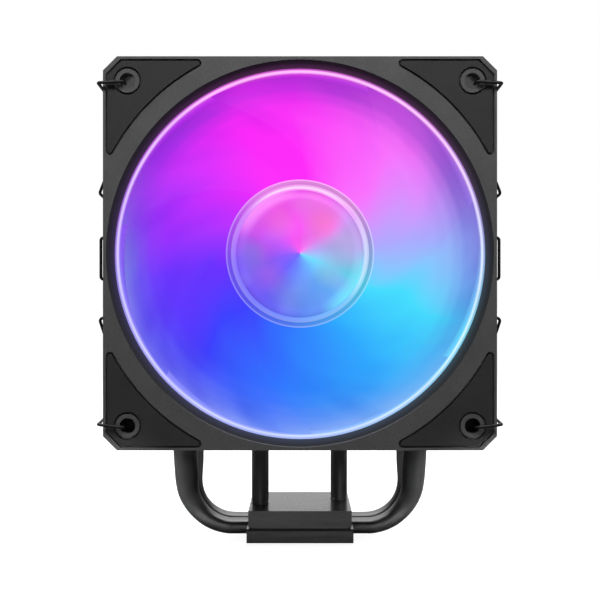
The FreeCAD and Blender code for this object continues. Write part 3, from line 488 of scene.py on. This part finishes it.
def blade_mesh(bm, index):
    nr, nc = 30, 34
    step = 2 * math.pi / 7
    sides = []
    for sign in (-1, 1):
        rows = []
        for i in range(nr + 1):
            v = i / nr
            r = lerp(R_HUB, R_TIP, v)
            mid = math.radians(SWEEP) * (1 - v) ** 1.25 + index * step
            spread = step * lerp(0.56, 0.575, v)
            thick = lerp(0.80, 0.48, v)
            y0, y1 = lerp(-45.6, -44.6, v), lerp(-31.6, -30.4, v)
            row = []
            for j in range(nc + 1):
                t = 0.5 - 0.5 * math.cos(math.pi * j / nc)
                ang = mid + spread * (2 * t - 1)
                y = lerp(y0, y1, t) + 2.2 * t * (1 - t)
                th = thick * (0.18 + 0.82 * math.sin(math.pi * t) ** 0.45)
                row.append(bm.verts.new(Vector((r * math.sin(ang), y + sign * th, r * math.cos(ang) + FZ / MM)) * MM))
            rows.append(row)
        sides.append(rows)
    lo, hi = sides
    for i in range(nr):
        for j in range(nc):
            bm.faces.new((lo[i][j], lo[i][j + 1], lo[i + 1][j + 1], lo[i + 1][j]))
            bm.faces.new((hi[i][j], hi[i + 1][j], hi[i + 1][j + 1], hi[i][j + 1]))
    for i in range(nr):
        bm.faces.new((lo[i][0], lo[i + 1][0], hi[i + 1][0], hi[i][0]))
        bm.faces.new((lo[i][nc], hi[i][nc], hi[i + 1][nc], lo[i + 1][nc]))
    for j in range(nc):
        bm.faces.new((lo[0][j], hi[0][j], hi[0][j + 1], lo[0][j + 1]))
        bm.faces.new((lo[nr][j], lo[nr][j + 1], hi[nr][j + 1], hi[nr][j]))


def revolve(bm, profile, seg=160, closed=True):
    """Revolve (y, radius) in mm about the fan's axis."""
    rings = []
    for k in range(seg):
        a = 2 * math.pi * k / seg
        rings.append([bm.verts.new(Vector((r * math.sin(a), y, r * math.cos(a) + FZ / MM)) * MM) for y, r in profile])
    n = len(profile)
    for k in range(seg):
        a, c = rings[k], rings[(k + 1) % seg]
        for i in range(n if closed else n - 1):
            j = (i + 1) % n
            bm.faces.new((a[i], a[j], c[j], c[i]))
    bmesh.ops.remove_doubles(bm, verts=bm.verts, dist=1e-7)
    bmesh.ops.recalc_face_normals(bm, faces=bm.faces)


bm = bmesh.new()
for i in range(7):
    blade_mesh(bm, i)
bmesh.ops.recalc_face_normals(bm, faces=bm.faces)
blades = new_object("impeller_blades", bm, M["frosted_blade"], "rotor", sharp=50)
bm = bmesh.new()
revolve(bm, [(-47.0, 21.78), (-47.56, 21.80), (-47.6, 21.84), (-47.6, 22.16), (-47.52, 22.34), (-47.36, 22.52),
             (-47.10, 22.66), (-46.8, 22.69), (-30.8, 22.69), (-30.8, 21.6), (-43.6, 21.6), (-43.6, 2.4), (-45.2, 2.4),
             (-45.2, 20.53), (-47.0, 20.53)])
hub = new_object("impeller_hub", bm, M["frosted_hub"], "rotor", sharp=40)
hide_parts("impeller")
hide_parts("impeller")

# ------------------------------------------------------------------ stage, light, camera
bm = bmesh.new()
bmesh.ops.create_grid(bm, x_segments=60, y_segments=60, size=12.0)
for v in bm.verts:
    v.co.z = -0.00005
me = bpy.data.meshes.new("floor")
bm.to_mesh(me)
bm.free()
floor = bpy.data.objects.new("floor", me)
bpy.context.scene.collection.objects.link(floor)
ft = Tree("floor_white")
fn = ft.noise(6.0, 3.0, 0.5)
sep = ft.add("ShaderNodeSeparateXYZ", {0: ft.coord()})
away = ft.math("SQRT", ft.math("ADD", ft.math("MULTIPLY", sep.outputs["X"], sep.outputs["X"]),
                               ft.math("MULTIPLY", sep.outputs["Y"], sep.outputs["Y"])))
shine = ft.ramp(ft.remap(away, 0.0, 1.0, 0.03, 0.40), [(0.0, (0.92,) * 3), (0.35, (0.96,) * 3), (1.0, (1.0,) * 3)])
ft.set(base=ft.mix(ft.remap(fn, 0.0, 1.0, 0.3, 0.7), (0.46, 0.46, 0.46, 1), (0.50, 0.50, 0.50, 1)), rough=0.8, spec=0.05,
       emit=shine, power=1.0)
# the floor is a bright stage to the eye, but it doesn't light the object from below
plain = ft.add("ShaderNodeBsdfDiffuse", {0: (0.20, 0.20, 0.20, 1)})
path = ft.add("ShaderNodeLightPath")
both = ft.add("ShaderNodeMixShader", {0: path.outputs["Is Camera Ray"]})
ft.link(plain.outputs[0], both.inputs[1])
ft.link(ft.bsdf.outputs[0], both.inputs[2])
ft.link(both.outputs[0], ft.out.inputs[0])
me.materials.append(ft.mat)

world = bpy.data.worlds.new("studio")
bpy.context.scene.world = world
world.use_nodes = True
wn = world.node_tree
wn.nodes.clear()
wo = wn.nodes.new("ShaderNodeOutputWorld")
seen = wn.nodes.new("ShaderNodeBackground")
seen.inputs[0].default_value = (1, 1, 1, 1)
seen.inputs[1].default_value = 1.0
lit = wn.nodes.new("ShaderNodeBackground")
lit.inputs[0].default_value = (1, 1, 1, 1)
lit.inputs[1].default_value = 0.16
lp = wn.nodes.new("ShaderNodeLightPath")
mx = wn.nodes.new("ShaderNodeMixShader")
wn.links.new(lp.outputs["Is Camera Ray"], mx.inputs[0])
wn.links.new(lit.outputs[0], mx.inputs[1])
wn.links.new(seen.outputs[0], mx.inputs[2])
wn.links.new(mx.outputs[0], wo.inputs[0])


def area(name, loc, target, size, size_y, power, spread=180.0):
    d = bpy.data.lights.new(name, "AREA")
    d.shape = "RECTANGLE"
    d.size, d.size_y, d.energy = size, size_y, power
    d.spread = math.radians(spread)
    o = bpy.data.objects.new(name, d)
    o.location = loc
    o.rotation_euler = (Vector(target) - Vector(loc)).to_track_quat("-Z", "Y").to_euler()
    o.visible_camera = False
    bpy.context.scene.collection.objects.link(o)
    return o


area("key_top", (0.0, -0.25, 0.41), (0, -0.04, 0.13), 0.7, 0.10, 2.75)
area("base_strip", (0.0, -0.34, 0.006), (0, 0, 0.005), 0.10, 0.010, 0.0007, 7.0)
area("leg_left", (-0.26, -0.30, 0.020), (-0.050, 0, 0.020), 0.026, 0.05, 0.030, 3.5)
area("leg_right", (0.26, -0.30, 0.020), (0.050, 0, 0.020), 0.026, 0.05, 0.030, 3.5)
area("bend_left", (-0.20, -0.30, 0.085), (-0.037, 0, 0.010), 0.03, 0.03, 0.0030, 3.5)
area("bend_right", (0.20, -0.30, 0.085), (0.037, 0, 0.010), 0.03, 0.03, 0.0030, 3.5)
area("side_left", (-0.60, 0.10, 0.10), (-0.05, 0.0, 0.08), 0.35, 0.45, 0.9)
area("side_right", (0.60, 0.10, 0.10), (0.05, 0.0, 0.08), 0.35, 0.45, 0.9)
area("back_panel", (0.0, 0.60, 0.14), (0, 0, 0.06), 0.36, 0.42, 0.31)
area("back_high", (0.0, 0.55, 0.44), (0, 0, 0.08), 0.6, 0.25, 2.4)
area("top_soft", (0.0, 0.15, 0.65), (0, 0, 0.10), 0.7, 0.5, 1.2)

cam_data = bpy.data.cameras.new("camera")
cam = bpy.data.objects.new("camera", cam_data)
bpy.context.scene.collection.objects.link(cam)
cam.location = (0.0, -0.399, 0.0804)
cam.rotation_euler = (math.radians(90), 0, 0)
cam_data.sensor_width = 36.0
cam_data.sensor_fit = "HORIZONTAL"
cam_data.lens = 36.0 * 1150.0 / 600.0
cam_data.clip_start = 0.01
bpy.context.scene.camera = cam
sc = bpy.context.scene
sc.view_settings.view_transform = "Standard"
sc.view_settings.look = "None"
sc.view_settings.exposure = 0.0
sc.view_settings.gamma = 1.0
